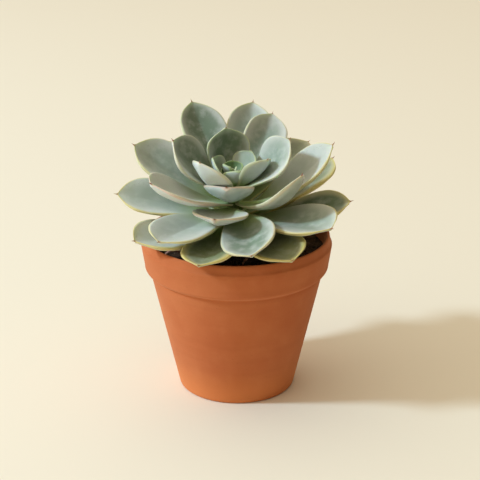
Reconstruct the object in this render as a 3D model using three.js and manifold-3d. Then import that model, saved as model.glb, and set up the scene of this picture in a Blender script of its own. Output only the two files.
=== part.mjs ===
// A potted rosette succulent: a clay pot with a rolled rim, its soil, a short stem and
// thirty-eight fleshy leaves, with two shed leaf scraps lying on the soil.
// Millimetres, +Z up. The origin is on the table, under the middle of the plant's spread.

import * as THREE from 'three'
import { mergeVertices } from 'three/addons/utils/BufferGeometryUtils.js'
import Module from 'manifold-3d'

// Pot: a tapered wall under a deep rolled rim, with a drain hole in the floor.
const POT_X = 2
const POT_Y = 0
const POT_HEIGHT = 93
const POT_SIDES = 64
const FOOT_RADIUS = 34
const FOOT_ROUNDING = 1.5
const WALL_TOP_RADIUS = 50
const WALL_THICKNESS = 3.8
const FLOOR_THICKNESS = 6
const DRAIN_RADIUS = 6
const RIM_BOTTOM = 71
const RIM_STEP = 1
const RIM_ROUNDING = 3
const RIM_RADIUS_LOW = 53.2
const RIM_RADIUS_HIGH = 55
const RIM_SHOULDER = 88
const SHOULDER_ROUNDING = 1
const LIP_OUTER_RADIUS = 53.6
const LIP_INNER_RADIUS = 51.8
const LIP_ROUNDING = 0.7
const MOUTH_RADIUS = 51.2
const MOUTH_BOTTOM = 82

// Soil: fills the pot to a little under the lip, slightly mounded at the stem. The gap keeps the
// solids apart.
const SOIL_EDGE = 85
const SOIL_CROWN = 86
const SOIL_SIDES = 48
const GAP = 0.3

// Stem: a short cone whose foot stands in the soil. The rosette sits a little off the pot's axis.
const STEM_X = 0
const STEM_Y = 2
const STEM_FOOT = 72
const STEM_FOOT_SHARE = 0.7
const STEM_COLLAR = 86
const STEM_NECK = 126
const STEM_TOP = 128
const STEM_NECK_RADIUS = 1.6
const STEM_TAPER = 0.118
const STEM_SIDES = 16

// Leaves: sections along the length, and points across the upper face and back under the lower one,
// where -1 and 1 are the two edges.
const ALONG = [0, 0.09, 0.2, 0.33, 0.47, 0.61, 0.74, 0.85, 0.93, 0.98, 1]
const UPPER = [-1, -0.8, -0.4, 0, 0.4, 0.8, 1]
const LOWER = [0.85, 0, -0.85]
const MIDLINE_STEPS = 40

// Outline: a narrow base, widest two thirds of the way along, then round shoulders and a pointed end.
const BASE_WIDTH = 0.27
const WIDEST = 0.66
const FLANK_POWER = 1.35
const SHOULDER_POWER = 3.1
const END_POWER = 0.88
const END_WIDTH = 0.045

// Thickness: longer leaves are thicker, up to a limit, and every leaf thins toward its base and end.
const THICKNESS_START = 0.9
const THICKNESS_GAIN = 0.055
const THICKNESS_LIMIT = 4.2
const BASE_THICKNESS = 0.28
const END_TAPER = 6
const END_LEAST = 0.02
const SHORT_LEAF = 25
const LEAST_THICKNESS = 0.7
const SHORT_LEAST_THICKNESS = 0.4
const ABOVE_MIDLINE = 0.3
const EDGE_POWER = 2.2

// Trough: how the cup grows along the leaf and rises toward the edges.
const CUP_START = 0.15
const CUP_TURN = 0.75
const CUP_ALONG_POWER = 0.8
const CUP_ACROSS_POWER = 1.8
const CUP_NARROWING = 0.25
const ROLL_RATE = 1.5

// The small hard point on the leaf's end, and the gap between the leaf's base and the stem.
const POINT_START = 0.5
const POINT_GAIN = 0.035
const POINT_LIMIT = 2.4
const STEM_CLEARANCE = 0.55

// Scraps: half the thickness of a dry curl.
const SCRAP_HALF = 0.35

// One leaf a line, from the heart outward. Degrees and millimetres: heading is the way it points,
// anticlockwise from +X, rise its climb at the base and lift its climb at the tip, half its half
// width, cup how deep the trough is, roll its lean about its own length, bend its sideways sweep,
// and height where it leaves the stem.
const LEAVES = [
  { heading: 95, rise: 61, lift: 91, length: 9.9, half: 6.3, cup: 0.45, roll: 0, bend: 0, height: 124.9 },
  { heading: 215, rise: 54, lift: 80, length: 10, half: 4.5, cup: 0.45, roll: 0, bend: 0, height: 125.5 },
  { heading: 130, rise: 53, lift: 75, length: 9, half: 6.5, cup: 0.45, roll: 0, bend: 0, height: 123 },
  { heading: 338, rise: 42, lift: 70, length: 10.9, half: 5.4, cup: 0.45, roll: -1, bend: 0, height: 122.9 },
  { heading: 287, rise: 32, lift: 78, length: 13.5, half: 8.3, cup: 0.35, roll: -5, bend: 0, height: 122 },
  { heading: 36, rise: 44, lift: 78, length: 20.4, half: 10.5, cup: 0.39, roll: 3, bend: -4, height: 121.6 },
  { heading: 187, rise: 52, lift: 74, length: 19.3, half: 10.9, cup: 0.39, roll: -15, bend: 1, height: 120.7 },
  { heading: 327, rise: 34, lift: 56, length: 28.9, half: 9.8, cup: 0.45, roll: -9, bend: -3, height: 120.1 },
  { heading: 107, rise: 36, lift: 108, length: 36.7, half: 14, cup: 0.4, roll: 6, bend: 4, height: 118.4 },
  { heading: 236, rise: 14, lift: 65, length: 38.3, half: 13.1, cup: 0.38, roll: -11, bend: -2, height: 118.9 },
  { heading: 350, rise: 29, lift: 65, length: 43.1, half: 16.1, cup: 0.24, roll: 30, bend: 2, height: 118.4 },
  { heading: 263, rise: 20, lift: 49, length: 28, half: 14.8, cup: 0.36, roll: 1, bend: -2, height: 112.7 },
  { heading: 55, rise: 31, lift: 38, length: 59.9, half: 12.7, cup: 0.35, roll: 25, bend: 19, height: 116.1 },
  { heading: 184, rise: 38, lift: 58, length: 45.9, half: 16.7, cup: 0.23, roll: -30, bend: 12, height: 115 },
  { heading: 222, rise: 13, lift: 34, length: 63.5, half: 16, cup: 0.31, roll: -17, bend: 6, height: 111 },
  { heading: 320, rise: -3, lift: 62, length: 56.4, half: 11.8, cup: 0.29, roll: 10, bend: -5, height: 111.5 },
  { heading: 117, rise: 39, lift: 50, length: 66.1, half: 14.5, cup: 0.33, roll: -3, bend: 4, height: 111.7 },
  { heading: 258, rise: 2, lift: 20, length: 43, half: 15.7, cup: 0.23, roll: -1, bend: -1, height: 108.3 },
  { heading: 77, rise: 32, lift: 45, length: 72, half: 14.4, cup: 0.41, roll: 13, bend: 4, height: 109.1 },
  { heading: 287, rise: -3, lift: -3, length: 61.7, half: 15.7, cup: 0.26, roll: 19, bend: -18, height: 106.3 },
  { heading: 170, rise: 34, lift: 36, length: 63.7, half: 15.3, cup: 0.33, roll: -29, bend: 6, height: 106 },
  { heading: 51, rise: 29, lift: 15, length: 68.4, half: 13.7, cup: 0.36, roll: 14, bend: -5, height: 106 },
  { heading: 231, rise: 6, lift: 1, length: 64.8, half: 16, cup: 0.19, roll: -7, bend: 9, height: 104 },
  { heading: 140, rise: 24, lift: 34, length: 66, half: 15.5, cup: 0.3, roll: 0, bend: 0, height: 103.5 },
  { heading: 359, rise: 28, lift: 52, length: 67.2, half: 15.4, cup: 0.27, roll: 20, bend: -3, height: 102.7 },
  { heading: 66, rise: 20, lift: 27, length: 56, half: 14, cup: 0.3, roll: 0, bend: 0, height: 101.3 },
  { heading: 330, rise: 11, lift: 8, length: 67.2, half: 16.7, cup: 0.25, roll: 15, bend: -24, height: 100.7 },
  { heading: 184, rise: 22, lift: 11, length: 63.4, half: 14.2, cup: 0.28, roll: -28, bend: 4, height: 99.9 },
  { heading: 254, rise: -5, lift: 5, length: 64.3, half: 14.8, cup: 0.23, roll: 1, bend: 2, height: 98.5 },
  { heading: 107, rise: 16, lift: 24, length: 62, half: 15, cup: 0.3, roll: 0, bend: 0, height: 98.5 },
  { heading: 33, rise: 17, lift: 28, length: 71.4, half: 16.2, cup: 0.3, roll: 5, bend: 3, height: 97.2 },
  { heading: 158, rise: 10, lift: 18, length: 62, half: 15, cup: 0.3, roll: 0, bend: 0, height: 96 },
  { heading: 301, rise: 4, lift: 2, length: 61.8, half: 16.5, cup: 0.29, roll: 8, bend: -6, height: 94.9 },
  { heading: 75, rise: 8, lift: 14, length: 59, half: 15, cup: 0.3, roll: 0, bend: 0, height: 94.1 },
  { heading: 351, rise: 19, lift: 22, length: 65, half: 15.5, cup: 0.24, roll: 18, bend: -2, height: 92.4 },
  { heading: 212, rise: 8, lift: 12, length: 61.2, half: 16.2, cup: 0.29, roll: -14, bend: 8, height: 91 },
  { heading: 127, rise: 3, lift: 9, length: 60, half: 15.5, cup: 0.3, roll: 0, bend: 0, height: 92.5 },
  { heading: 44, rise: 5, lift: 11, length: 60, half: 14.5, cup: 0.3, roll: 0, bend: 0, height: 90.6 },
]

const wasm = await Module()
wasm.setup()
const { degToRad, lerp } = THREE.MathUtils

// ---- solids ----

// Position-only geometry, so that points shared by neighbouring faces are one vertex.
function welded(geometry) {
  geometry.deleteAttribute('normal')
  geometry.deleteAttribute('uv')
  return mergeVertices(geometry)
}

function toSolid(geometry) {
  const vertProperties = new Float32Array(geometry.getAttribute('position').array)
  const triVerts = new Uint32Array(geometry.getIndex().array)
  return new wasm.Manifold(new wasm.Mesh({ numProp: 3, vertProperties, triVerts }))
}

function toGeometry(solid) {
  const mesh = solid.getMesh()
  const geometry = new THREE.BufferGeometry()
  geometry.setAttribute('position', new THREE.BufferAttribute(mesh.vertProperties, 3))
  geometry.setIndex(new THREE.BufferAttribute(mesh.triVerts, 1))
  return geometry
}

// A turned solid standing on Z, from [radius, height] points.
function turned(profile, sides) {
  const points = profile.map(([radius, height]) => new THREE.Vector2(radius, height))
  return welded(new THREE.LatheGeometry(points, sides).rotateX(Math.PI / 2))
}

// ---- pot ----

// Part of a circle between two angles, as profile points.
function rounding(centreR, centreZ, radius, fromDegrees, toDegrees, steps) {
  const arc = []
  for (let i = 0; i <= steps; i += 1) {
    const angle = degToRad(lerp(fromDegrees, toDegrees, i / steps))
    arc.push([centreR + radius * Math.cos(angle), centreZ + radius * Math.sin(angle)])
  }
  return arc
}

const cavityFoot = [FOOT_RADIUS - WALL_THICKNESS, FLOOR_THICKNESS]
const cavityWaist = [WALL_TOP_RADIUS - WALL_THICKNESS, RIM_BOTTOM]
const cavityMouth = [MOUTH_RADIUS, MOUTH_BOTTOM]

function potGeometry() {
  const foot = rounding(FOOT_RADIUS - FOOT_ROUNDING, FOOT_ROUNDING, FOOT_ROUNDING, -90, -10, 3)
  const rimUnderside = RIM_BOTTOM + RIM_STEP + RIM_ROUNDING
  const rimEdge = rounding(RIM_RADIUS_LOW - RIM_ROUNDING, rimUnderside, RIM_ROUNDING, -90, 0, 4)
  const shoulder = rounding(
    RIM_RADIUS_HIGH - SHOULDER_ROUNDING, RIM_SHOULDER, SHOULDER_ROUNDING, 0, 40, 2)
  const outerLip = rounding(
    LIP_OUTER_RADIUS - LIP_ROUNDING, POT_HEIGHT - LIP_ROUNDING, LIP_ROUNDING, 15, 90, 2)
  const innerLip = rounding(
    LIP_INNER_RADIUS + LIP_ROUNDING, POT_HEIGHT - LIP_ROUNDING, LIP_ROUNDING, 90, 180, 2)
  const profile = [
    [DRAIN_RADIUS, 0],
    ...foot,
    [WALL_TOP_RADIUS, RIM_BOTTOM],
    ...rimEdge,
    ...shoulder,
    ...outerLip,
    ...innerLip,
    cavityMouth,
    cavityWaist,
    cavityFoot,
    [DRAIN_RADIUS, FLOOR_THICKNESS],
    [DRAIN_RADIUS, 0],
  ]
  return turned(profile, POT_SIDES)
}

// ---- soil and stem ----

function stemRadius(height) {
  return STEM_NECK_RADIUS + (STEM_NECK - height) * STEM_TAPER
}

// The stem, or with a margin the pocket that it stands in.
function stemGeometry(margin) {
  const foot = STEM_FOOT - margin
  const shoulder = STEM_TOP - 1
  const profile = [
    [0, foot],
    [stemRadius(STEM_FOOT) * STEM_FOOT_SHARE + margin, foot],
    [stemRadius(STEM_COLLAR) + margin, STEM_COLLAR],
    [stemRadius(shoulder) + margin, shoulder],
    [0, STEM_TOP + margin],
  ]
  return turned(profile, STEM_SIDES).translate(STEM_X, STEM_Y, 0)
}

function soilGeometry() {
  const profile = [
    [0, cavityFoot[1] + GAP],
    [cavityFoot[0] - GAP, cavityFoot[1] + GAP],
    [cavityWaist[0] - GAP, cavityWaist[1]],
    [cavityMouth[0] - GAP, cavityMouth[1]],
    [cavityMouth[0] - GAP, SOIL_EDGE],
    [0, SOIL_CROWN],
  ]
  const fill = turned(profile, SOIL_SIDES).translate(POT_X, POT_Y, 0)
  return toGeometry(toSolid(fill).subtract(toSolid(stemGeometry(GAP))))
}

// ---- leaves ----

// Share of the full half width at a distance along the leaf.
function widthShare(along) {
  if (along === 1) return END_WIDTH
  if (along < WIDEST) {
    const climb = Math.sin((Math.PI / 2) * (along / WIDEST)) ** FLANK_POWER
    return BASE_WIDTH + (1 - BASE_WIDTH) * climb
  }
  const past = (along - WIDEST) / (1 - WIDEST)
  return (1 - past ** SHOULDER_POWER) ** END_POWER
}

function leafThickness(leaf, along) {
  const full = Math.min(THICKNESS_LIMIT, THICKNESS_START + THICKNESS_GAIN * leaf.length)
  const swell = BASE_THICKNESS + (1 - BASE_THICKNESS) * Math.sin(Math.PI * lerp(0.1, 0.9, along))
  const taper = Math.sqrt(Math.min(1, Math.max(END_LEAST, (1 - along) * END_TAPER)))
  const least = leaf.length > SHORT_LEAF ? LEAST_THICKNESS : SHORT_LEAST_THICKNESS
  return Math.max(least, full * swell * taper)
}

// Unit direction of the leaf's midline, in its own frame: +X outward, +Z up.
function leafDirection(leaf, along) {
  const climb = degToRad(lerp(leaf.rise, leaf.lift, along))
  const sweep = degToRad(leaf.bend * along)
  const level = Math.cos(climb)
  return new THREE.Vector3(level * Math.cos(sweep), level * Math.sin(sweep), Math.sin(climb))
}

// Midline points at each section, summed in short steps.
function leafMidline(leaf) {
  const walk = [new THREE.Vector3()]
  for (let i = 1; i <= MIDLINE_STEPS; i += 1) {
    const ahead = leafDirection(leaf, i / MIDLINE_STEPS)
    const behind = leafDirection(leaf, (i - 1) / MIDLINE_STEPS)
    const step = ahead.add(behind).multiplyScalar(leaf.length / MIDLINE_STEPS / 2)
    walk.push(walk[i - 1].clone().add(step))
  }
  return ALONG.map((along) => {
    const place = along * MIDLINE_STEPS
    const before = Math.min(MIDLINE_STEPS - 1, Math.floor(place))
    return walk[before].clone().lerp(walk[before + 1], place - before)
  })
}

// One closed ring of points round the leaf: over the trough from edge to edge, then back under.
function leafRing(leaf, along, centre) {
  const forward = leafDirection(leaf, along)
  const sweep = degToRad(leaf.bend * along)
  const side = new THREE.Vector3(-Math.sin(sweep), Math.cos(sweep), 0)
  const up = new THREE.Vector3().crossVectors(forward, side)
  const roll = degToRad(leaf.roll) * Math.min(1, along * ROLL_RATE)
  side.applyAxisAngle(forward, roll)
  up.applyAxisAngle(forward, roll)
  const half = leaf.half * widthShare(along)
  const cup = leaf.cup * Math.sin(Math.PI * CUP_TURN * along ** CUP_ALONG_POWER + CUP_START)
  const thickness = leafThickness(leaf, along)
  const point = (across, depthShare) => {
    const out = Math.abs(across)
    const lens = Math.sqrt(1 - out ** EDGE_POWER)
    const sideways = half * across * (1 - CUP_NARROWING * cup ** 2 * out ** 2)
    const raised = cup * half * out ** CUP_ACROSS_POWER + depthShare * thickness * lens
    return centre.clone().addScaledVector(side, sideways).addScaledVector(up, raised)
  }
  const over = UPPER.map((across) => point(across, ABOVE_MIDLINE))
  const under = LOWER.map((across) => point(across, ABOVE_MIDLINE - 1))
  return [...over, ...under]
}

function leafGeometry(leaf) {
  const midline = leafMidline(leaf)
  const rings = ALONG.map((along, i) => leafRing(leaf, along, midline[i]))
  const girth = rings[0].length
  const base = rings[0].reduce((sum, p) => sum.add(p), new THREE.Vector3()).divideScalar(girth)
  const pointLength = Math.min(POINT_LIMIT, POINT_START + POINT_GAIN * leaf.length)
  const tip = midline.at(-1).clone().addScaledVector(leafDirection(leaf, 1), pointLength)
  const points = [...rings.flat(), base, tip]
  const baseIndex = points.length - 2
  const tipIndex = points.length - 1
  const lastRing = (rings.length - 1) * girth
  const faces = []
  for (let j = 0; j < girth; j += 1) {
    const next = (j + 1) % girth
    for (let k = 0; k < lastRing; k += girth) {
      faces.push(k + j, k + girth + next, k + next)
      faces.push(k + j, k + girth + j, k + girth + next)
    }
    faces.push(baseIndex, j, next)
    faces.push(tipIndex, lastRing + next, lastRing + j)
  }
  const geometry = new THREE.BufferGeometry().setFromPoints(points)
  geometry.setIndex(faces)
  return geometry
}

// ---- shed leaf scraps ----

// A dry curl: a thin flat section drawn along a short arched path.
function scrapGeometry(path, width) {
  const section = new THREE.Shape().absellipse(0, 0, SCRAP_HALF, width / 2, 0, 2 * Math.PI, false, 0)
  const curve = new THREE.CatmullRomCurve3(path.map((p) => new THREE.Vector3(...p)))
  return welded(new THREE.ExtrudeGeometry(section, { steps: 10, curveSegments: 3, extrudePath: curve }))
}

// ---- the plant ----

const clay = new THREE.MeshStandardMaterial({ color: 0xc0714a, roughness: 0.9, metalness: 0 })
const earth = new THREE.MeshStandardMaterial({ color: 0x2e231c, roughness: 1, metalness: 0 })
const stalk = new THREE.MeshStandardMaterial({ color: 0x8c9a62, roughness: 0.8, metalness: 0 })
const bloomedLeaf = new THREE.MeshStandardMaterial({ color: 0x9fb0a4, roughness: 0.6, metalness: 0 })
const dryLeaf = new THREE.MeshStandardMaterial({ color: 0xc9a48c, roughness: 0.9, metalness: 0 })

function part(name, geometry, material) {
  const mesh = new THREE.Mesh(geometry, material)
  mesh.name = name
  return mesh
}

const plant = new THREE.Group()

const pot = part('pot', potGeometry(), clay)
pot.position.set(POT_X, POT_Y, 0)
plant.add(pot)
plant.add(part('soil', soilGeometry(), earth))
plant.add(part('stem', stemGeometry(0), stalk))

// Each leaf leaves the stem at its own height, turned to its heading.
LEAVES.forEach((leaf, i) => {
  const number = String(i + 1).padStart(2, '0')
  const mesh = part(`leaf_${number}`, leafGeometry(leaf), bloomedLeaf)
  const heading = degToRad(leaf.heading)
  const reach = stemRadius(leaf.height) + STEM_CLEARANCE
  mesh.position.set(STEM_X + reach * Math.cos(heading), STEM_Y + reach * Math.sin(heading), leaf.height)
  mesh.rotation.z = heading
  plant.add(mesh)
})

// Where each scrap lies on the soil, how far it is turned, and its arched path.
const scraps = [
  { width: 3, x: -34, y: -19.5, turn: 25, path: [[-5, 0, 1], [-2, 0.8, 2.4], [1.5, 0.4, 2.8], [4.5, -1, 1.3]] },
  { width: 3.5, x: 10.5, y: -28, turn: 40, path: [[-7, 0, 1], [-3, -1, 2.6], [2, 0.4, 3], [6.5, 0, 1.2]] },
]
scraps.forEach((scrap, i) => {
  const mesh = part(`dry_scrap_${i + 1}`, scrapGeometry(scrap.path, scrap.width), dryLeaf)
  mesh.position.set(scrap.x, scrap.y, SOIL_CROWN)
  mesh.rotation.z = degToRad(scrap.turn)
  plant.add(mesh)
})

export default plant
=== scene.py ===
import math
import random

import bpy
import numpy as np
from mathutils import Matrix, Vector, noise


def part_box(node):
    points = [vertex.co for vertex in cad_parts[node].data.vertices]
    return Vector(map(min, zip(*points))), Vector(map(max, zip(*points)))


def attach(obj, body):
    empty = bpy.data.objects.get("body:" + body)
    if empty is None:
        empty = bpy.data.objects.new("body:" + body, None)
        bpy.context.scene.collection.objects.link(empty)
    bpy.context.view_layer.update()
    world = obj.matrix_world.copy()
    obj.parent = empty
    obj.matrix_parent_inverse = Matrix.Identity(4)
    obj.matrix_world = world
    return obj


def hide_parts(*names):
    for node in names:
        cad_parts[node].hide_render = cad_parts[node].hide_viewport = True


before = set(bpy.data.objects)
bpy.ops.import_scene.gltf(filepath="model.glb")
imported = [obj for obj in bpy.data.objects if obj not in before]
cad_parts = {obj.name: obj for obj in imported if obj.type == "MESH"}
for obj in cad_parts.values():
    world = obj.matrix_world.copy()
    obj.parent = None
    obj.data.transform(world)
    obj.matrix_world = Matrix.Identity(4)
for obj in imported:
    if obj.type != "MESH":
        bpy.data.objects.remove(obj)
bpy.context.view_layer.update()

MM = 0.001

# ---- sizes, in metres ----

POT_LOW, POT_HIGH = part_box("pot")
POT_AXIS = (POT_LOW + POT_HIGH) / 2
POT_HEIGHT = POT_HIGH.z
FOOT_RADIUS = 34 * MM
WALL_TOP_RADIUS = 50 * MM
RIM_BOTTOM = 71 * MM
RIM_LOW_RADIUS = 53.2 * MM
RIM_HIGH_RADIUS = (POT_HIGH.x - POT_LOW.x) / 2
RIM_SHOULDER = 88 * MM
LIP_OUTER_RADIUS = 53.6 * MM
LIP_INNER_RADIUS = 51.8 * MM
WALL = 3.8 * MM
FLOOR = 6 * MM
DRAIN_RADIUS = 6 * MM
SOIL_LOW, SOIL_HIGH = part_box("soil")
STEM_LOW, STEM_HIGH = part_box("stem")
STEM_AXIS = (STEM_LOW + STEM_HIGH) / 2
# The stem is widest at this share of its height.
STEM_SWELL = 0.25
STEM_TOP_RADIUS = 1.4 * MM
SCAR_SPACING = 2.4 * MM
SCAR_DEPTH = 0.35 * MM

LEAF_COUNT = sum(name.startswith("leaf_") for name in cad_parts)

# Where the leaf's sections stand along its length, and its points across: over the trough from edge
# to edge, then back under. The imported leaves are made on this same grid.
ALONG = (0, 0.09, 0.2, 0.33, 0.47, 0.61, 0.74, 0.85, 0.93, 0.98, 1, 1.03)
ACROSS = (-1, -0.8, -0.4, 0, 0.4, 0.8, 1, 0.85, 0, -0.85)
GIRTH = len(ACROSS)
# How many of the points across lie over the trough, and a section that is wide enough to tell its edges.
OVER = 7
WIDE_ROW = 5
# Columns of the finer net in each gap between the points across, and its middle ones above and below.
GAP_COLUMNS = (2, 2, 2, 2, 2, 2, 3, 3, 3, 3)
MIDDLE_ABOVE = sum(GAP_COLUMNS[:3])
MIDDLE_BELOW = sum(GAP_COLUMNS[:8])
# Leaves shorter than this take a coarser net.
SHORT_LEAF = 25 * MM

# Relief on a leaf. The first three depths are shares of its half-width.
KEEL_DEPTH = 0.07
FOLD_DEPTH = 0.08
DENT_DEPTH = 0.02
DENT_SIZE = 11 * MM
MARGIN_DROOP = 1 * MM
MARGIN_LIP = 0.25 * MM
# The half-width at which the droop and the lip are full. They are less on narrower leaves.
FULL_HALF_WIDTH = 15 * MM

# Leaves by number, from the heart outward: how far each has yellowed, and how pink its edge is.
OLIVE = {
    16: 0.4, 22: 0.5, 25: 0.1, 27: 0.1, 29: 1, 31: 0.8, 33: 1,
    34: 0.6, 35: 0.6, 36: 0.35, 37: 0.7, 38: 0.7,
}
ROSY = {8: 0.3, 10: 0.3, 11: 0.5, 12: 0.8, 13: 0.5, 14: 0.4, 15: 1, 16: 0.5, 18: 0.9, 19: 0.4, 20: 0.3}
# Painted light and shade, leaf by leaf: lighter (up to 1) where a leaf is lit, deeper (down to -1) where it
# lies in shade.
PAINTED_LIGHT_BY_LEAF = {
    6: 0.5, 9: -0.9, 10: 0.9, 12: -0.4, 13: -0.2, 14: -0.7, 15: 1, 16: -0.4, 17: -0.8, 18: 1, 19: 0.2,
    20: -0.6, 21: 0.2, 23: 0.6, 25: 0.7, 28: 0.4, 29: -0.5, 35: -1, 36: 1,
}
# Leaves whose underside comes to a marked keel, with its depth.
KEELED = {12: 1.8 * MM, 18: 1.8 * MM}
# The heart's green, partly its own and partly painted shade, is full up to the first of these leaves, and
# gone by the second.
HEART_LEAVES = (4, 10)

# ---- the studio: metres, watts and angles ----

FLOOR_REACH = 60.0
WINDOW_WIDTH = 0.36
WINDOW_WATTS = 70
WINDOW_COLOUR = (0.62, 0.82, 1.0)
WINDOW_HEIGHT = math.radians(36)
WINDOW_SWING = math.radians(192)
WINDOW_DISTANCE = 3
WINDOW_AIM = Vector((0, 0, 0.08))
# The room is brightest on this side, and evenly dim where a direction's cosine with it is this low.
ROOM_BRIGHT_SIDE = Vector((-0.65, 0.25, 0.6))
ROOM_DIM_FROM = -0.4
ROOM_DIM = 0.09
ROOM_BRIGHT = 1.28
ROOM_WARM = (0.98, 0.8, 0.55, 1)
ROOM_NEUTRAL = (0.91, 0.84, 0.71, 1)
CAMERA_DISTANCE = 0.808
CAMERA_HEIGHT = math.radians(20.6)
CAMERA_AIM = Vector((0.0039, 0, 0.0883))
# The lens's focal length and the sensor's width, in millimetres.
CAMERA_LENS = 105
CAMERA_SENSOR = 36


# ---- shader maths ----


class Tone:
    """A value in a finish's node sheet, which plain sums and products work on."""

    def __init__(self, finish, socket):
        self.finish = finish
        self.socket = socket

    def __add__(self, other):
        return self.finish.sum("ADD", self, other)

    __radd__ = __add__

    def __sub__(self, other):
        return self.finish.sum("SUBTRACT", self, other)

    def __rsub__(self, other):
        return self.finish.sum("SUBTRACT", other, self)

    def __mul__(self, other):
        return self.finish.sum("MULTIPLY", self, other)

    __rmul__ = __mul__

    def step(self, low, high):
        """0 below low, 1 above high, and smooth between; the other way round when low is above high."""
        settings = {"interpolation_type": "SMOOTHSTEP"}
        if low < high:
            return self.finish.node("ShaderNodeMapRange", settings, {0: self, 1: low, 2: high})
        return 1 - self.step(high, low)


class Finish:
    """One procedural material, and the one method that adds a node to it."""

    def __init__(self, name):
        self.material = bpy.data.materials.new(name)
        self.material.use_nodes = True
        self.tree = self.material.node_tree
        self.tree.nodes.clear()
        self.place = self.node("ShaderNodeTexCoord", {}, {}, "Object")

    def node(self, kind, settings, inputs, output=0):
        """A new node, as the tone of one of its outputs, or as it is when no output is asked for."""
        made = self.tree.nodes.new(kind)
        for key, value in settings.items():
            setattr(made, key, value)
        for key, value in inputs.items():
            if isinstance(value, Tone):
                self.tree.links.new(value.socket, made.inputs[key])
            else:
                made.inputs[key].default_value = value
        return made if output is None else Tone(self, made.outputs[output])

    def sum(self, operation, first, second):
        return self.node("ShaderNodeMath", {"operation": operation}, {0: first, 1: second})

    def grain(self, size, detail=3, roughness=0.5, place=None):
        """Soft noise about 0.5, with lumps of a size in metres."""
        inputs = {"Scale": 1 / size, "Detail": detail, "Roughness": roughness}
        inputs["Vector"] = place or self.place
        return self.node("ShaderNodeTexNoise", {}, inputs)

    def pits(self, size):
        """Distance to the nearest of scattered points, for cells and specks."""
        return self.node("ShaderNodeTexVoronoi", {}, {"Scale": 1 / size, "Vector": self.place})

    def stretched(self, x, y, z):
        """The place on the object, with each axis scaled."""
        scale = {0: self.place, 1: (x, y, z)}
        return self.node("ShaderNodeVectorMath", {"operation": "MULTIPLY"}, scale)

    def blend(self, mask, under, over):
        """One colour laid over another where the mask is 1."""
        return self.node("ShaderNodeMix", {"data_type": "RGBA"}, {0: mask, 6: under, 7: over}, 2)

    def parts(self, attribute):
        """The three numbers of a vector that the mesh carries."""
        return self.split(self.node("ShaderNodeAttribute", {"attribute_name": attribute}, {}, "Vector"))

    def split(self, vector):
        """A vector's three numbers."""
        first = self.node("ShaderNodeSeparateXYZ", {}, {0: vector})
        return [Tone(self, socket) for socket in first.socket.node.outputs]

    def bump(self, height, depth, strength=1.0, normal=None):
        """A normal from a height of 0 to 1 that stands for a depth in metres."""
        inputs = {"Height": height, "Distance": depth, "Strength": strength}
        if normal:
            inputs["Normal"] = normal
        return self.node("ShaderNodeBump", {}, inputs)

    def skin(self, **inputs):
        """Ends the finish in one Principled shader."""
        named = {key.replace("_", " "): value for key, value in inputs.items()}
        shader = self.node("ShaderNodeBsdfPrincipled", {}, named)
        self.node("ShaderNodeOutputMaterial", {}, {"Surface": shader}, None)
        return self.material


def rgb(red, green, blue):
    """A colour chip, read as on a screen from 0 to 255, as the linear colour that shaders take."""
    chip = np.array((red, green, blue)) / 255
    linear = np.where(chip <= 0.04045, chip / 12.92, ((chip + 0.055) / 1.055) ** 2.4)
    return (*(float(c) for c in linear), 1.0)


# ---- finishes ----


def fired_clay():
    clay = Finish("fired_clay")
    cloud = clay.grain(38 * MM, 4)
    mottle = clay.grain(9 * MM, 5, 0.6)
    bands = clay.grain(6 * MM, 2, 0.5, clay.stretched(0.12, 0.12, 1))
    sand = clay.grain(0.9 * MM, 4, 0.7)
    specks = clay.pits(2.6 * MM)
    colour = clay.blend(cloud.step(0.3, 0.7), rgb(186, 99, 54), rgb(195, 110, 64))
    colour = clay.blend(mottle.step(0.45, 0.8) * 0.2, colour, rgb(206, 128, 82))
    colour = clay.blend(bands.step(0.45, 0.7) * 0.16, colour, rgb(172, 88, 46))
    colour = clay.blend(specks.step(0.16, 0.05) * sand.step(0.45, 0.6) * 0.5, colour, rgb(150, 78, 46))
    # Painted light: the clay is painted lighter toward the foot, where light bounces up from the floor.
    painted_floor_bounce = clay.split(clay.place)[2].step(26 * MM, 2 * MM)
    colour = clay.blend(painted_floor_bounce * 0.6, colour, rgb(226, 136, 74))
    relief = sand * 0.6 + mottle * 0.5 + bands * 0.4
    return clay.skin(
        Base_Color=colour,
        Roughness=0.82 + 0.12 * mottle,
        Normal=clay.bump(relief, 0.35 * MM, 0.55),
        Specular_IOR_Level=0.3,
        Sheen_Weight=0.2,
        Sheen_Roughness=0.5,
        Sheen_Tint=rgb(244, 200, 156),
    )


def potting_soil():
    soil = Finish("potting_soil")
    crumbs = soil.grain(2.2 * MM, 5, 0.65)
    tint = soil.grain(7 * MM, 3)
    colour = soil.blend(crumbs.step(0.35, 0.7), rgb(28, 19, 13), rgb(80, 57, 40))
    colour = soil.blend(tint.step(0.45, 0.7) * 0.5, colour, rgb(104, 80, 58))
    return soil.skin(
        Base_Color=colour, Roughness=0.95, Normal=soil.bump(crumbs, 1 * MM, 0.8), Specular_IOR_Level=0.2
    )


def pale_grit():
    grit = Finish("pale_grit")
    dust = grit.grain(1.1 * MM, 3)
    colour = grit.blend(dust.step(0.35, 0.65), rgb(150, 138, 122), rgb(214, 205, 190))
    return grit.skin(Base_Color=colour, Roughness=0.9, Normal=grit.bump(dust, 0.3 * MM, 0.6))


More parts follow.
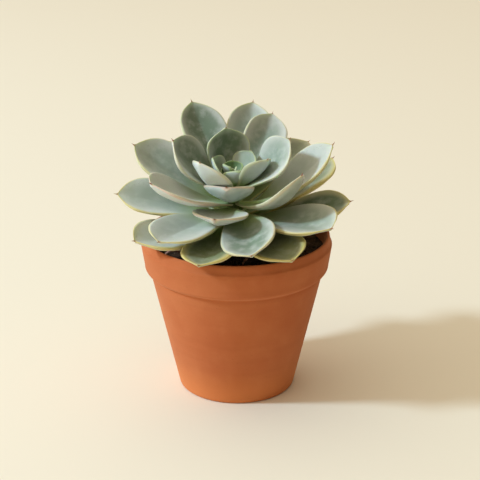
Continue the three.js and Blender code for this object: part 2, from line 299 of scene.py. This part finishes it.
def leaf_skin():
    """Blue-green flesh under a powdery bloom, with coloured edges, a brown point, a few rubs and painted
    light and shade.
    """
    leaf = Finish("leaf_skin")
    along, across, edge = leaf.parts("leaf_place")
    age, olive, over = leaf.parts("leaf_kind")
    rosy, heart, painted_light_and_shade = leaf.parts("leaf_tint_and_painted_light")
    cloud = leaf.grain(22 * MM, 2, 0.4)
    streak = leaf.grain(6 * MM, 4, 0.55)
    dust = leaf.grain(0.7 * MM, 3, 0.6)
    specks = leaf.pits(3.1 * MM)
    middle = (across * across).step(0.6, 0.03)
    trough = middle * along.step(0.15, 0.45) * along.step(0.97, 0.75)
    flesh = leaf.blend(cloud.step(0.3, 0.7), rgb(170, 181, 168), rgb(187, 192, 183))
    # Painted shade: the middle of the trough is painted darker, as the hollow lies in shade.
    flesh = leaf.blend(trough * 0.7, flesh, rgb(126, 147, 131))
    # Partly the young leaves' own green, partly painted shade: the cupped heart is painted a darker green.
    flesh = leaf.blend(heart * 0.8, flesh, rgb(104, 136, 84))
    under = leaf.blend(cloud.step(0.3, 0.7), rgb(176, 192, 187), rgb(186, 196, 195))
    under = leaf.blend(olive * 0.8, under, rgb(160, 152, 96))
    flesh = leaf.blend(over.step(0.7, 0.3), flesh, under)
    flesh = leaf.blend(olive * over * 0.8, flesh, rgb(132, 136, 80))
    # Painted light and shade, leaf by leaf: lit leaves are painted lighter, shaded ones deeper and greener.
    flesh = leaf.blend(painted_light_and_shade.step(0, 1) * 0.6, flesh, rgb(219, 221, 214))
    flesh = leaf.blend(painted_light_and_shade.step(0, -1) * 0.7, flesh, rgb(84, 106, 76))
    # The bases are a vivid green: partly their own colour, partly painted light glowing through the flesh
    # near the stem.
    flesh = leaf.blend(along.step(0.55, 0.12) * 0.85, flesh, rgb(164, 184, 100))
    bloom = streak.step(0.4, 0.72) * (1 - heart * 0.7) * (1 - olive * 0.5) * along.step(0.2, 0.6)
    flesh = leaf.blend(bloom * 0.38, flesh, rgb(212, 216, 210))
    freckle = leaf.pits(1.1 * MM).step(0.36, 0.14) * streak.step(0.45, 0.6) * edge.step(8, 2)
    flesh = leaf.blend(freckle * age * 0.75, flesh, rgb(104, 112, 94))
    rub = specks.step(0.14, 0.05) * cloud.step(0.5, 0.6) * over
    flesh = leaf.blend(rub * (0.15 + 0.4 * age), flesh, rgb(104, 114, 96))
    flesh = leaf.blend(specks.step(0.2, 0.1) * olive * 0.4, flesh, rgb(186, 188, 150))
    halo = edge.step(6, 0.8) * along.step(0.25, 0.6) * (1 - heart)
    flesh = leaf.blend(halo * 0.6, flesh, rgb(211, 214, 207))
    yellow = (1 - over) * 0.5 + over * olive
    flesh = leaf.blend(halo * yellow * age.step(0.35, 0.8), flesh, rgb(192, 178, 100))
    rim = (edge + streak * 0.5).step(1.9, 0.9)
    rim_colour = leaf.blend(age.step(0.3, 0.75), rgb(208, 214, 180), rgb(212, 196, 124))
    rim_colour = leaf.blend(rosy * (1 - over * 0.65), rim_colour, rgb(224, 190, 170))
    rim_colour = leaf.blend(heart, rim_colour, rgb(184, 202, 146))
    flesh = leaf.blend(rim * 0.8, flesh, rim_colour)
    point = along.step(0.99, 1.006)
    flesh = leaf.blend(point * (0.9 - 0.5 * heart), flesh, rgb(140, 74, 52))
    fold = leaf.bump(edge * (0.13 - 0.25 * over), 1 * MM)
    relief = dust * 0.3 + streak * 0.4 + cloud * 0.6
    return leaf.skin(
        Base_Color=flesh,
        Roughness=0.48 + 0.15 * bloom + 0.08 * dust,
        Normal=leaf.bump(relief, 0.25 * MM, 0.3, fold),
        Specular_IOR_Level=0.3,
        Sheen_Weight=0.2,
        Sheen_Roughness=0.45,
        Sheen_Tint=rgb(214, 226, 226),
        Subsurface_Weight=0.22,
        Subsurface_Radius=(1.1, 1.6, 0.7),
        Subsurface_Scale=2 * MM,
    )


def stem_bark():
    bark = Finish("stem_bark")
    fibre = bark.grain(2 * MM, 4, 0.6, bark.stretched(1, 1, 0.25))
    colour = bark.blend(fibre.step(0.35, 0.7), rgb(104, 124, 66), rgb(146, 160, 100))
    return bark.skin(Base_Color=colour, Roughness=0.75, Normal=bark.bump(fibre, 0.5 * MM, 0.6))


def withered_leaf():
    dry = Finish("withered_leaf")
    vein = dry.grain(1.4 * MM, 4, 0.65)
    colour = dry.blend(vein.step(0.3, 0.7), rgb(158, 106, 86), rgb(206, 164, 144))
    return dry.skin(Base_Color=colour, Roughness=0.8, Normal=dry.bump(vein, 0.3 * MM, 0.7))


def pale_floor():
    floor = Finish("pale_floor")
    return floor.skin(Base_Color=rgb(237, 229, 211), Roughness=0.95, Specular_IOR_Level=0.1)


# ---- mesh helpers ----


def piece(name, points, faces, finish, slot, *stands_for):
    """A smooth-shaded mesh in the frame's own place, riding on the one body."""
    mesh = bpy.data.meshes.new(name)
    mesh.from_pydata([tuple(p) for p in points], [], faces)
    mesh.validate()
    mesh.polygons.foreach_set("use_smooth", [True] * len(mesh.polygons))
    mesh.materials.append(finish)
    made = bpy.data.objects.new(name, mesh)
    bpy.context.scene.collection.objects.link(made)
    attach(made, "root")
    if stands_for:
        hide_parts(*stands_for)
    return made


def through(points, knots, places, closed=0):
    """A smooth curve through rows of points at their knots, read at new places. closed is its full turn."""
    points, knots = np.asarray(points, float), np.asarray(knots, float)
    if closed:
        points = np.concatenate([points[-2:], points, points[:3]])
        knots = np.concatenate([knots[-2:] - closed, knots, knots[:3] + closed])
    gap = np.diff(knots).reshape(-1, *[1] * (points.ndim - 1))
    slope = np.diff(points, axis=0) / gap
    tangent = np.concatenate([slope[:1], slope])
    tangent[1:-1] = (slope[1:] * gap[:-1] + slope[:-1] * gap[1:]) / (gap[:-1] + gap[1:])
    tangent = np.concatenate([tangent, slope[-1:]])[: len(points)]
    start = np.clip(np.searchsorted(knots, places, side="right") - 1, 0, len(knots) - 2)
    wide = gap[start]
    s = (np.asarray(places) - knots[start]).reshape(wide.shape) / wide
    here = points[start] * (2 * s**3 - 3 * s**2 + 1) + tangent[start] * wide * (s**3 - 2 * s**2 + s)
    there = points[start + 1] * (3 * s**2 - 2 * s**3) + tangent[start + 1] * wide * (s**3 - s**2)
    return here + there


def shared_out(knots, counts):
    """Places between knots, so many to each gap, without the last knot."""
    spans = [np.linspace(a, b, n, endpoint=False) for a, b, n in zip(knots, knots[1:], counts)]
    return np.concatenate(spans)


def sleeve_faces(rows, columns):
    """Quads of a closed sleeve of rows that each hold so many points."""
    faces = []
    for row in range(rows - 1):
        for column in range(columns):
            beside = (column + 1) % columns
            low, high = row * columns, (row + 1) * columns
            faces.append((low + column, high + column, high + beside, low + beside))
    return faces


# ---- leaves ----
#
# Here t is a place along a leaf, from 0 at its base, and u one across it, from -1 to 1 at the edges.
# Above is 1 over the trough and 0 underneath, and half is the leaf's half-width at t.


def packed_rings(name):
    """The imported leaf's own points, sorted from base to point and from edge to edge.

    Each step away from the leaf's point crosses one ring, and a face between two rings says which
    of their points belong together.
    """
    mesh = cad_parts[name].data
    spots = {}
    points = []
    merged = []
    for vertex in mesh.vertices:
        key = tuple(round(c, 7) for c in vertex.co)
        if key not in spots:
            spots[key] = len(points)
            points.append(vertex.co.copy())
        merged.append(spots[key])
    faces = [[merged[v] for v in polygon.vertices] for polygon in mesh.polygons]
    joined = [set() for _ in points]
    for face in faces:
        for vertex in face:
            joined[vertex].update(face)
    ends = [i for i, near in enumerate(joined) if len(near) == GIRTH + 1 and near_cap(i, joined)]
    ends.sort(key=lambda i: (points[i] - STEM_AXIS).to_2d().length)
    level = {ends[-1]: 0}
    front = [ends[-1]]
    while front:
        step = {n for v in front for n in joined[v] if n not in level}
        level.update({n: level[front[0]] + 1 for n in step})
        front = list(step)
    after, toward_base = {}, {}
    for face in faces:
        for a, b, c in (face, face[1:] + face[:1], face[2:] + face[:2]):
            if level[a] == level[b] == level[c] - 1:
                after[a], toward_base[a] = b, c
    ring = [next(v for v in after if level[v] == 1)]
    while len(ring) < GIRTH:
        ring.append(after[ring[-1]])
    rings = [ring]
    while len(rings) < len(ALONG) - 1:
        ring = [toward_base[v] for v in ring]
        rings.append(ring)
    rings = [[points[v] for v in ring] for ring in rings[::-1]]
    rings.append([points[ends[-1]]] * GIRTH)
    rings = np.array(rings)
    wide = rings[WIDE_ROW]
    spread = np.linalg.norm(wide[:, None] - wide[None], axis=2)
    first, second = divmod(int(spread.argmax()), GIRTH)
    left = first if (second - first) % GIRTH == OVER - 1 else second
    return np.roll(rings, -left, axis=1)


def near_cap(vertex, joined):
    """True for the hub of an end fan, whose neighbours each touch two more of its neighbours."""
    near = joined[vertex] - {vertex}
    return all(len(joined[n] & near) == 3 for n in near)


def surface_normals(grid):
    """Outward directions on a sleeve of points: rows from base to point, columns around."""
    forward = np.gradient(grid, axis=0)
    around = np.roll(grid, -1, axis=1) - np.roll(grid, 1, axis=1)
    normal = np.cross(forward, around)
    return normal / np.maximum(np.linalg.norm(normal, axis=2, keepdims=True), 1e-12)


def smooth_skin(rings, along, columns):
    """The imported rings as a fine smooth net, with rows along it and columns around it."""
    wide = rings[WIDE_ROW]
    chords = np.linalg.norm(np.roll(wide, -1, axis=0) - wide, axis=1)
    turn = np.concatenate([[0], np.cumsum(np.sqrt(chords))])
    around = np.interp(columns, range(GIRTH + 1), turn)
    net = through(rings, ALONG, along).transpose(1, 0, 2)
    return through(net, turn[:-1], around, closed=turn[-1]).transpose(1, 0, 2)


def ramp(values, low, high):
    """0 at low and 1 at high, straight between."""
    return np.clip((values - low) / (high - low), 0, 1)


def leaf_relief(net, number, t, u, above, half):
    """How far the skin stands out from the net: a keel below, a fold above and soft dents."""
    keel = (1 - above) * ramp(np.abs(u), 0.8, 0) * ramp(t, 0.25, 0.65) * (t < 0.99)
    fold = above * ramp(np.abs(u), 0.9, 0) ** 1.3 * ramp(t, 0.2, 0.5) * (t < 0.99)
    own = Vector((number, 0, 0))
    dents = np.array([[noise.noise(Vector(p) / DENT_SIZE + own) for p in row] for row in net])
    keel_depth = KEELED.get(number, KEEL_DEPTH * half.max())
    return keel * keel_depth + half * (dents * DENT_DEPTH * (t > 0.05) - fold * FOLD_DEPTH)


def soft_margin(net, t, u, above, half, fine):
    """The net with a thick, drooping margin and a raised lip just inside it."""
    depth = net[:, MIDDLE_ABOVE * fine] - net[:, MIDDLE_BELOW * fine]
    depth = depth / np.maximum(np.linalg.norm(depth, axis=1, keepdims=True), 1e-9)
    swell = ramp(t, 0.2, 0.5) * ramp(t, 1.01, 0.89) * half / FULL_HALF_WIDTH
    droop = np.where(above < 0.5, ramp(np.abs(u), 0.45, 0.85), ramp(np.abs(u), 0.88, 1) * 0.6)
    lip = above * ramp(np.abs(np.abs(u) - 0.9), 0.1, 0)
    return net - depth[:, None] * (swell * (droop * MARGIN_DROOP - lip * MARGIN_LIP))[..., None]


def wrapped(net, base, point):
    """Points and faces of the closed skin: the net's own, then the middle of its base and its point."""
    rows, columns = net.shape[:2]
    faces = sleeve_faces(rows, columns)
    last = (rows - 1) * columns
    for column in range(columns):
        beside = (column + 1) % columns
        faces.append((rows * columns, column, beside))
        faces.append((rows * columns + 1, last + beside, last + column))
    return np.vstack([net.reshape(-1, 3), base, point]), faces


def carry(leaf, title, values):
    """Stores three numbers at each of the leaf's points, for its finish to read."""
    carried = leaf.data.attributes.new(title, "FLOAT_VECTOR", "POINT")
    carried.data.foreach_set("vector", np.asarray(values, np.float32).ravel())


def fleshy_leaf(number, finish):
    """One leaf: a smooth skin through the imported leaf's points, with its own relief and colouring."""
    name = f"leaf_{number:02d}"
    rings = packed_rings(name)
    length = float(np.linalg.norm(np.diff(rings.mean(axis=1), axis=0), axis=1).sum())
    fine = 1 if length < SHORT_LEAF else 2
    rows = shared_out(range(len(ALONG)), [2 + fine] * 4 + [3 * fine] * 3 + [2 * fine] * 4)
    columns = shared_out(range(GIRTH + 1), [count * fine for count in GAP_COLUMNS])
    along = np.interp(rows, range(len(ALONG)), ALONG)
    across = np.interp(columns, range(GIRTH + 1), [*ACROSS, ACROSS[0]])
    turns = (0, OVER - 1, OVER - 0.6, GIRTH - 0.4, GIRTH)
    above = np.interp(columns, turns, (1, 1, 0, 0, 1))[None]
    half_widths = np.linalg.norm(rings[:, OVER - 1] - rings[:, 0], axis=1) / 2
    half = np.interp(along, ALONG, half_widths)[:, None]
    t, u = along[:, None], across[None]
    edge = np.minimum((1 - np.abs(u)) * half, (1.01 - t) * length)

    net = smooth_skin(rings, along, columns)
    net = net + surface_normals(net) * leaf_relief(net, number, t, u, above, half)[..., None]
    net = soft_margin(net, t, u, above, half, fine)
    points, faces = wrapped(net, rings[0].mean(axis=0), rings[-1][0])
    leaf = piece(f"fleshy_{name}", points, faces, finish, "leaf", name)

    place = np.stack(np.broadcast_arrays(t, u, edge / MM), axis=2).reshape(-1, 3)
    carry(leaf, "leaf_place", np.vstack([place, (0, 0, 9), (ALONG[-1], 0, 0)]))
    age = np.full(len(points), (number - 1) / (LEAF_COUNT - 1))
    olive = np.full(len(points), OLIVE.get(number, 0))
    upper = np.append(np.broadcast_to(above, edge.shape), (1, 1))
    carry(leaf, "leaf_kind", np.column_stack([age, olive, upper]))
    heart = np.interp(number, HEART_LEAVES, (1, 0))
    # Its pink edge, its share of the heart's green (partly painted shade) and its painted light and shade.
    tint = (ROSY.get(number, 0), heart, PAINTED_LIGHT_BY_LEAF.get(number, 0))
    carry(leaf, "leaf_tint_and_painted_light", np.tile(tint, (len(points), 1)))


# ---- pot, soil, stem and scraps ----


def arc(centre_r, centre_z, radius, start, end, steps=6):
    """Profile points of a rounded edge, from one angle to another in degrees."""
    turns = np.radians(np.linspace(start, end, steps))
    return [(centre_r + radius * math.cos(a), centre_z + radius * math.sin(a)) for a in turns]


def on_circle(centre, radius, angle, height):
    """A point at a height, on a level circle about an upright axis."""
    return (centre.x + radius * math.cos(angle), centre.y + radius * math.sin(angle), height)


def full_turn(sides):
    """Angles evenly round a full turn."""
    return [2 * math.pi * i / sides for i in range(sides)]


def evenly(profile, step):
    """The same outline with a point at least every so often."""
    points = []
    for (r0, z0), (r1, z1) in zip(profile, profile[1:]):
        pieces = max(1, round(math.hypot(r1 - r0, z1 - z0) / step))
        points += [(r0 + (r1 - r0) * i / pieces, z0 + (z1 - z0) * i / pieces) for i in range(pieces)]
    return points


def turned(profile, sides, centre, wobble):
    """Points and faces of a turned ring whose outline closes on itself, a little out of true."""
    points = []
    for angle in full_turn(sides):
        for radius, height in profile:
            spot = Vector((math.cos(angle), math.sin(angle), height * 12))
            drift = wobble * noise.noise(spot * 1.7)
            points.append(on_circle(centre, radius + drift, angle, height))
    count = len(profile)
    faces = []
    for i in range(sides):
        beside = (i + 1) % sides
        for j in range(count):
            above = (j + 1) % count
            faces.append((i * count + j, beside * count + j, beside * count + above, i * count + above))
    return points, faces


def clay_pot(finish):
    """The pot: foot, tapered wall, rolled rim, rounded lip and drain hole in one outline."""
    roundings = (1.8, 1.5, 3.2, 2, 1, 0.9, 0.8)
    foot, throat, roll, shoulder, lip_out, lip_in, drain = (size * MM for size in roundings)
    profile = [
        (DRAIN_RADIUS + drain, 0),
        (FOOT_RADIUS - 8 * MM, 0),
        *arc(FOOT_RADIUS - foot, foot, foot, -90, -12),
        *arc(WALL_TOP_RADIUS + 1.2 * MM, RIM_BOTTOM - 0.6 * MM, throat, 196, 120),
        *arc(RIM_LOW_RADIUS - roll, RIM_BOTTOM + 4 * MM, roll, -70, 4, 9),
        *arc(RIM_HIGH_RADIUS - shoulder, RIM_SHOULDER - 1.2 * MM, shoulder, 4, 50),
        *arc(LIP_OUTER_RADIUS - lip_out, POT_HEIGHT - lip_out, lip_out, 20, 90),
        *arc(LIP_INNER_RADIUS + lip_in, POT_HEIGHT - lip_in, lip_in, 90, 180),
        (WALL_TOP_RADIUS - WALL + 0.6 * MM, RIM_BOTTOM),
        (FOOT_RADIUS - WALL + 2 * MM, FLOOR + 1 * MM),
        (FOOT_RADIUS - WALL, FLOOR),
        (DRAIN_RADIUS + drain, FLOOR),
        *arc(DRAIN_RADIUS + drain, FLOOR - drain, drain, 90, 180, 4),
        *arc(DRAIN_RADIUS + drain, drain, drain, 180, 270, 4),
    ]
    profile = evenly(profile + profile[:1], 2.5 * MM)
    points, faces = turned(profile, 160, POT_AXIS, 0.12 * MM)
    piece("clay_pot", points, faces, finish, "terracotta", "pot")


def soil_height(x, y):
    """The height of the soil's crumbly surface, which lies about the top of the CAD soil."""
    rough = noise.fractal(Vector((x, y, 0)) / (6 * MM), 0.9, 2.1, 5)
    lumps = noise.noise(Vector((x, y, 4 * MM)) / (16 * MM))
    return SOIL_HIGH.z - 1.4 * MM + 0.7 * MM * rough + 0.6 * MM * lumps


def soil_body(finish):
    """The soil as one plug: a rough top over a plain tapered side and bottom."""
    sides, rings = 150, 46
    slack = 0.3 * MM
    top_radius = (SOIL_HIGH.x - SOIL_LOW.x) / 2 - slack
    waist_radius = WALL_TOP_RADIUS - WALL - slack
    foot_radius = FOOT_RADIUS - WALL - slack
    points = []
    for ring in range(rings, 0, -1):
        radius = top_radius * ring / rings
        for angle in full_turn(sides):
            x, y = radius * math.cos(angle), radius * math.sin(angle)
            points.append((POT_AXIS.x + x, POT_AXIS.y + y, soil_height(x, y)))
    centre = len(points)
    points.append((POT_AXIS.x, POT_AXIS.y, soil_height(0, 0)))
    rim = len(points)
    for radius, height in ((waist_radius, RIM_BOTTOM), (foot_radius, SOIL_LOW.z)):
        points += [on_circle(POT_AXIS, radius, angle, height) for angle in full_turn(sides)]
    foot = len(points)
    points.append((POT_AXIS.x, POT_AXIS.y, SOIL_LOW.z))
    faces = []
    for i in range(sides):
        beside = (i + 1) % sides
        for ring in range(rings - 1):
            low, high = ring * sides, (ring + 1) * sides
            faces.append((low + i, low + beside, high + beside, high + i))
        faces.append(((rings - 1) * sides + i, (rings - 1) * sides + beside, centre))
        faces.append((i, rim + i, rim + beside, beside))
        faces.append((rim + i, rim + sides + i, rim + sides + beside, rim + beside))
        faces.append((rim + sides + i, foot, rim + sides + beside))
    piece("soil_body", points, faces, finish, "soil", "soil")


LUMP_CORNERS = [(0, 0, 1), (1, 0, 0), (0, 1, 0), (-1, 0, 0), (0, -1, 0), (0, 0, -1)]
LUMP_FACES = [(0, 1, 2), (0, 2, 3), (0, 3, 4), (0, 4, 1), (5, 2, 1), (5, 3, 2), (5, 4, 3), (5, 1, 4)]


def scattered(name, count, small, large, seed, finish):
    """Loose lumps lying in the top of the soil, as one piece."""
    luck = random.Random(seed)
    points, faces = [], []
    reach = (SOIL_HIGH.x - SOIL_LOW.x) / 2 - 1.6 * MM
    for _ in range(count):
        distance = reach * math.sqrt(luck.uniform(0.02, 1))
        angle = luck.uniform(0, 2 * math.pi)
        x, y = distance * math.cos(angle), distance * math.sin(angle)
        size = luck.uniform(small, large)
        spin = luck.uniform(0, math.pi)
        squash = luck.uniform(0.5, 0.9)
        start = len(points)
        for cx, cy, cz in LUMP_CORNERS:
            stray = luck.uniform(0.7, 1.25) * size
            px = stray * (cx * math.cos(spin) - cy * math.sin(spin))
            py = stray * (cx * math.sin(spin) + cy * math.cos(spin)) * squash
            height = soil_height(x, y) + 0.2 * size + cz * stray * 0.6
            points.append((POT_AXIS.x + x + px, POT_AXIS.y + y + py, height))
        faces += [tuple(start + v for v in face) for face in LUMP_FACES]
    lumps = piece(name, points, faces, finish, "soil")
    rounding = lumps.modifiers.new("rounding", "SUBSURF")
    rounding.levels = rounding.render_levels = 1


def woody_stem(finish):
    """The stem, ringed by the scars of leaves."""
    sides, rows = 32, 90
    height = STEM_HIGH.z - STEM_LOW.z
    widest = (STEM_HIGH.x - STEM_LOW.x) / 2
    points = []
    for row in range(rows):
        z = height * row / (rows - 1)
        up = z / height
        if up < STEM_SWELL:
            radius = widest * (0.75 + 0.25 * up / STEM_SWELL)
        else:
            radius = widest + (STEM_TOP_RADIUS - widest) * (up - STEM_SWELL) / (1 - STEM_SWELL)
        for angle in full_turn(sides):
            scar = 0.5 + 0.5 * math.sin(z / SCAR_SPACING * math.pi + 2 * angle)
            trim = 0.25 * MM + SCAR_DEPTH * scar**3
            points.append(on_circle(STEM_AXIS, radius - trim, angle, STEM_LOW.z + z))
    faces = [face[::-1] for face in sleeve_faces(rows, sides)]
    foot, top = len(points), len(points) + 1
    points += [(STEM_AXIS.x, STEM_AXIS.y, STEM_LOW.z), (STEM_AXIS.x, STEM_AXIS.y, STEM_HIGH.z)]
    last = (rows - 1) * sides
    for i in range(sides):
        beside = (i + 1) % sides
        faces.append((foot, beside, i))
        faces.append((top, last + i, last + beside))
    piece("woody_stem", points, faces, finish, "stem", "stem")


def heart_tips(finish):
    """The points of three leaves still opening, in the middle of the heart."""
    sides, rows = 12, 9
    height, stray, thick = 4.6 * MM, 1.5 * MM, 1.15 * MM
    foot = Vector((STEM_AXIS.x, STEM_AXIS.y, STEM_HIGH.z - 0.6 * MM))
    points, faces = [], []
    for heading in (25, 150, 265):
        out = Vector((math.cos(math.radians(heading)), math.sin(math.radians(heading)), 0))
        side = Vector((-out.y, out.x, 0))
        start = len(points)
        for row in range(rows):
            up = row / (rows - 1)
            spine = foot + out * (0.7 * MM + stray * up**1.5) + Vector((0, 0, height * up))
            half_width = thick * (1 - up**3) * (0.7 + 0.6 * up) + 0.05 * MM
            for angle in full_turn(sides):
                ring = side * math.cos(angle) + out * 0.45 * math.sin(angle)
                points.append(spine + ring * half_width)
        faces += [tuple(start + v for v in face) for face in sleeve_faces(rows, sides)]
        faces.append(tuple(start + i for i in range(sides)))
        faces.append(tuple(start + (rows - 1) * sides + i for i in reversed(range(sides))))
    piece("heart_tips", points, faces, finish, "leaf")


def dry_curl(number, finish, seed):
    """A shed leaf, shrivelled to a curled strip with ragged edges, along the CAD scrap's length."""
    name = f"dry_scrap_{number}"
    low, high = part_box(name)
    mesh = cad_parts[name].data
    flat = np.array([vertex.co for vertex in mesh.vertices])
    centre = flat.mean(axis=0)
    _, _, axes = np.linalg.svd(flat - centre, full_matrices=False)
    run = axes[0] if axes[0][0] > 0 else -axes[0]
    side = np.cross((0, 0, 1), run)
    side /= np.linalg.norm(side)
    length = np.ptp((flat - centre) @ run) * 0.96
    luck = random.Random(seed)
    steps, strands = 26, 9
    half_width = 1.6 * MM
    edge_out = [luck.uniform(0.75, 1.1) for _ in range(steps)]
    points = []
    for layer in (0.14 * MM, -0.14 * MM):
        for i in range(steps):
            s = i / (steps - 1)
            arch = math.sin(math.pi * s)
            width = half_width * edge_out[i] * (0.25 + 0.75 * arch)
            spine = centre + run * (s - 0.5) * length
            lift = low.z + 0.5 * MM + (high.z - low.z - 1.9 * MM) * arch**0.8
            for j in range(strands):
                u = 2 * j / (strands - 1) - 1
                curl = width * 0.7 * u * u
                wave = 0.25 * MM * noise.noise(Vector((s * 9, u * 2, seed)))
                spot = spine + side * width * u * 0.85
                points.append((spot[0], spot[1], lift + curl + wave + layer))
    faces = []
    sheet = steps * strands
    for i in range(steps - 1):
        for j in range(strands - 1):
            a, b = i * strands + j, (i + 1) * strands + j
            faces.append((a, b, b + 1, a + 1))
            faces.append((sheet + a, sheet + a + 1, sheet + b + 1, sheet + b))
    border = [i * strands for i in range(steps)]
    border += [(steps - 1) * strands + j for j in range(1, strands)]
    border += [i * strands + strands - 1 for i in range(steps - 2, -1, -1)]
    border += list(range(strands - 2, 0, -1))
    for a, b in zip(border, border[1:] + border[:1]):
        faces.append((b, a, sheet + a, sheet + b))
    piece(f"dry_curl_{number}", points, faces, finish, "dry_leaf", name)


# ---- studio ----


def studio():
    """The floor and the lights that the plant is shown in."""
    floor_mesh = bpy.data.meshes.new("pale_floor")
    corners = [(x * FLOOR_REACH, y * FLOOR_REACH, 0) for x, y in ((-1, -1), (1, -1), (1, 1), (-1, 1))]
    floor_mesh.from_pydata(corners, [], [(0, 1, 2, 3)])
    floor_mesh.materials.append(pale_floor())
    floor = bpy.data.objects.new("pale_floor", floor_mesh)
    bpy.context.scene.collection.objects.link(floor)

    key = bpy.data.lights.new("window_light", "AREA")
    key.shape = "DISK"
    key.size = WINDOW_WIDTH
    key.energy = WINDOW_WATTS
    key.color = WINDOW_COLOUR
    aimed = bpy.data.objects.new("window_light", key)
    level = math.cos(WINDOW_HEIGHT)
    towards = Vector(
        (level * math.cos(WINDOW_SWING), level * math.sin(WINDOW_SWING), math.sin(WINDOW_HEIGHT))
    )
    aimed.location = WINDOW_AIM + towards * WINDOW_DISTANCE
    aimed.rotation_euler = towards.to_track_quat("Z", "Y").to_euler()
    bpy.context.scene.collection.objects.link(aimed)
    room()
    bpy.context.scene.view_settings.view_transform = "Standard"


def room():
    """Warm light from the whole room: strong from above, the left and behind, and dim from the rest."""
    world = bpy.data.worlds.new("soft_room")
    world.use_nodes = True
    sheet = world.node_tree
    back = sheet.nodes["Background"]
    facing = sheet.nodes.new("ShaderNodeTexCoord")
    share = sheet.nodes.new("ShaderNodeVectorMath")
    share.operation = "DOT_PRODUCT"
    share.inputs[1].default_value = ROOM_BRIGHT_SIDE.normalized()
    spread = sheet.nodes.new("ShaderNodeMapRange")
    spread.interpolation_type = "SMOOTHSTEP"
    spread.inputs["From Min"].default_value = ROOM_DIM_FROM
    spread.inputs["From Max"].default_value = 1
    spread.inputs["To Min"].default_value = ROOM_DIM
    spread.inputs["To Max"].default_value = ROOM_BRIGHT
    sheet.links.new(facing.outputs["Generated"], share.inputs[0])
    sheet.links.new(share.outputs["Value"], spread.inputs["Value"])
    sheet.links.new(spread.outputs["Result"], back.inputs["Strength"])
    tones = sheet.nodes.new("ShaderNodeMix")
    tones.data_type = "RGBA"
    tones.inputs[6].default_value = ROOM_WARM
    tones.inputs[7].default_value = ROOM_NEUTRAL
    sheet.links.new(share.outputs["Value"], tones.inputs[0])
    sheet.links.new(tones.outputs[2], back.inputs["Color"])
    bpy.context.scene.world = world


def camera():
    """Looks slightly down at the plant from the front, with a long lens."""
    eye = bpy.data.cameras.new("front_camera")
    eye.lens = CAMERA_LENS
    eye.sensor_width = CAMERA_SENSOR
    held = bpy.data.objects.new("front_camera", eye)
    back = Vector((0, -math.cos(CAMERA_HEIGHT), math.sin(CAMERA_HEIGHT)))
    held.location = CAMERA_AIM + back * CAMERA_DISTANCE
    held.rotation_euler = back.to_track_quat("Z", "Y").to_euler()
    bpy.context.scene.collection.objects.link(held)
    bpy.context.scene.camera = held


# ---- the plant ----

camera()
studio()
clay_pot(fired_clay())
soil_finish = potting_soil()
soil_body(soil_finish)
scattered("soil_crumbs", 900, 0.35 * MM, 1.1 * MM, 7, soil_finish)
scattered("soil_grit", 220, 0.2 * MM, 0.42 * MM, 11, pale_grit())
woody_stem(stem_bark())
skin = leaf_skin()
for number in range(1, LEAF_COUNT + 1):
    fleshy_leaf(number, skin)
heart_tips(skin)
dry = withered_leaf()
dry_curl(1, dry, 3)
dry_curl(2, dry, 5)
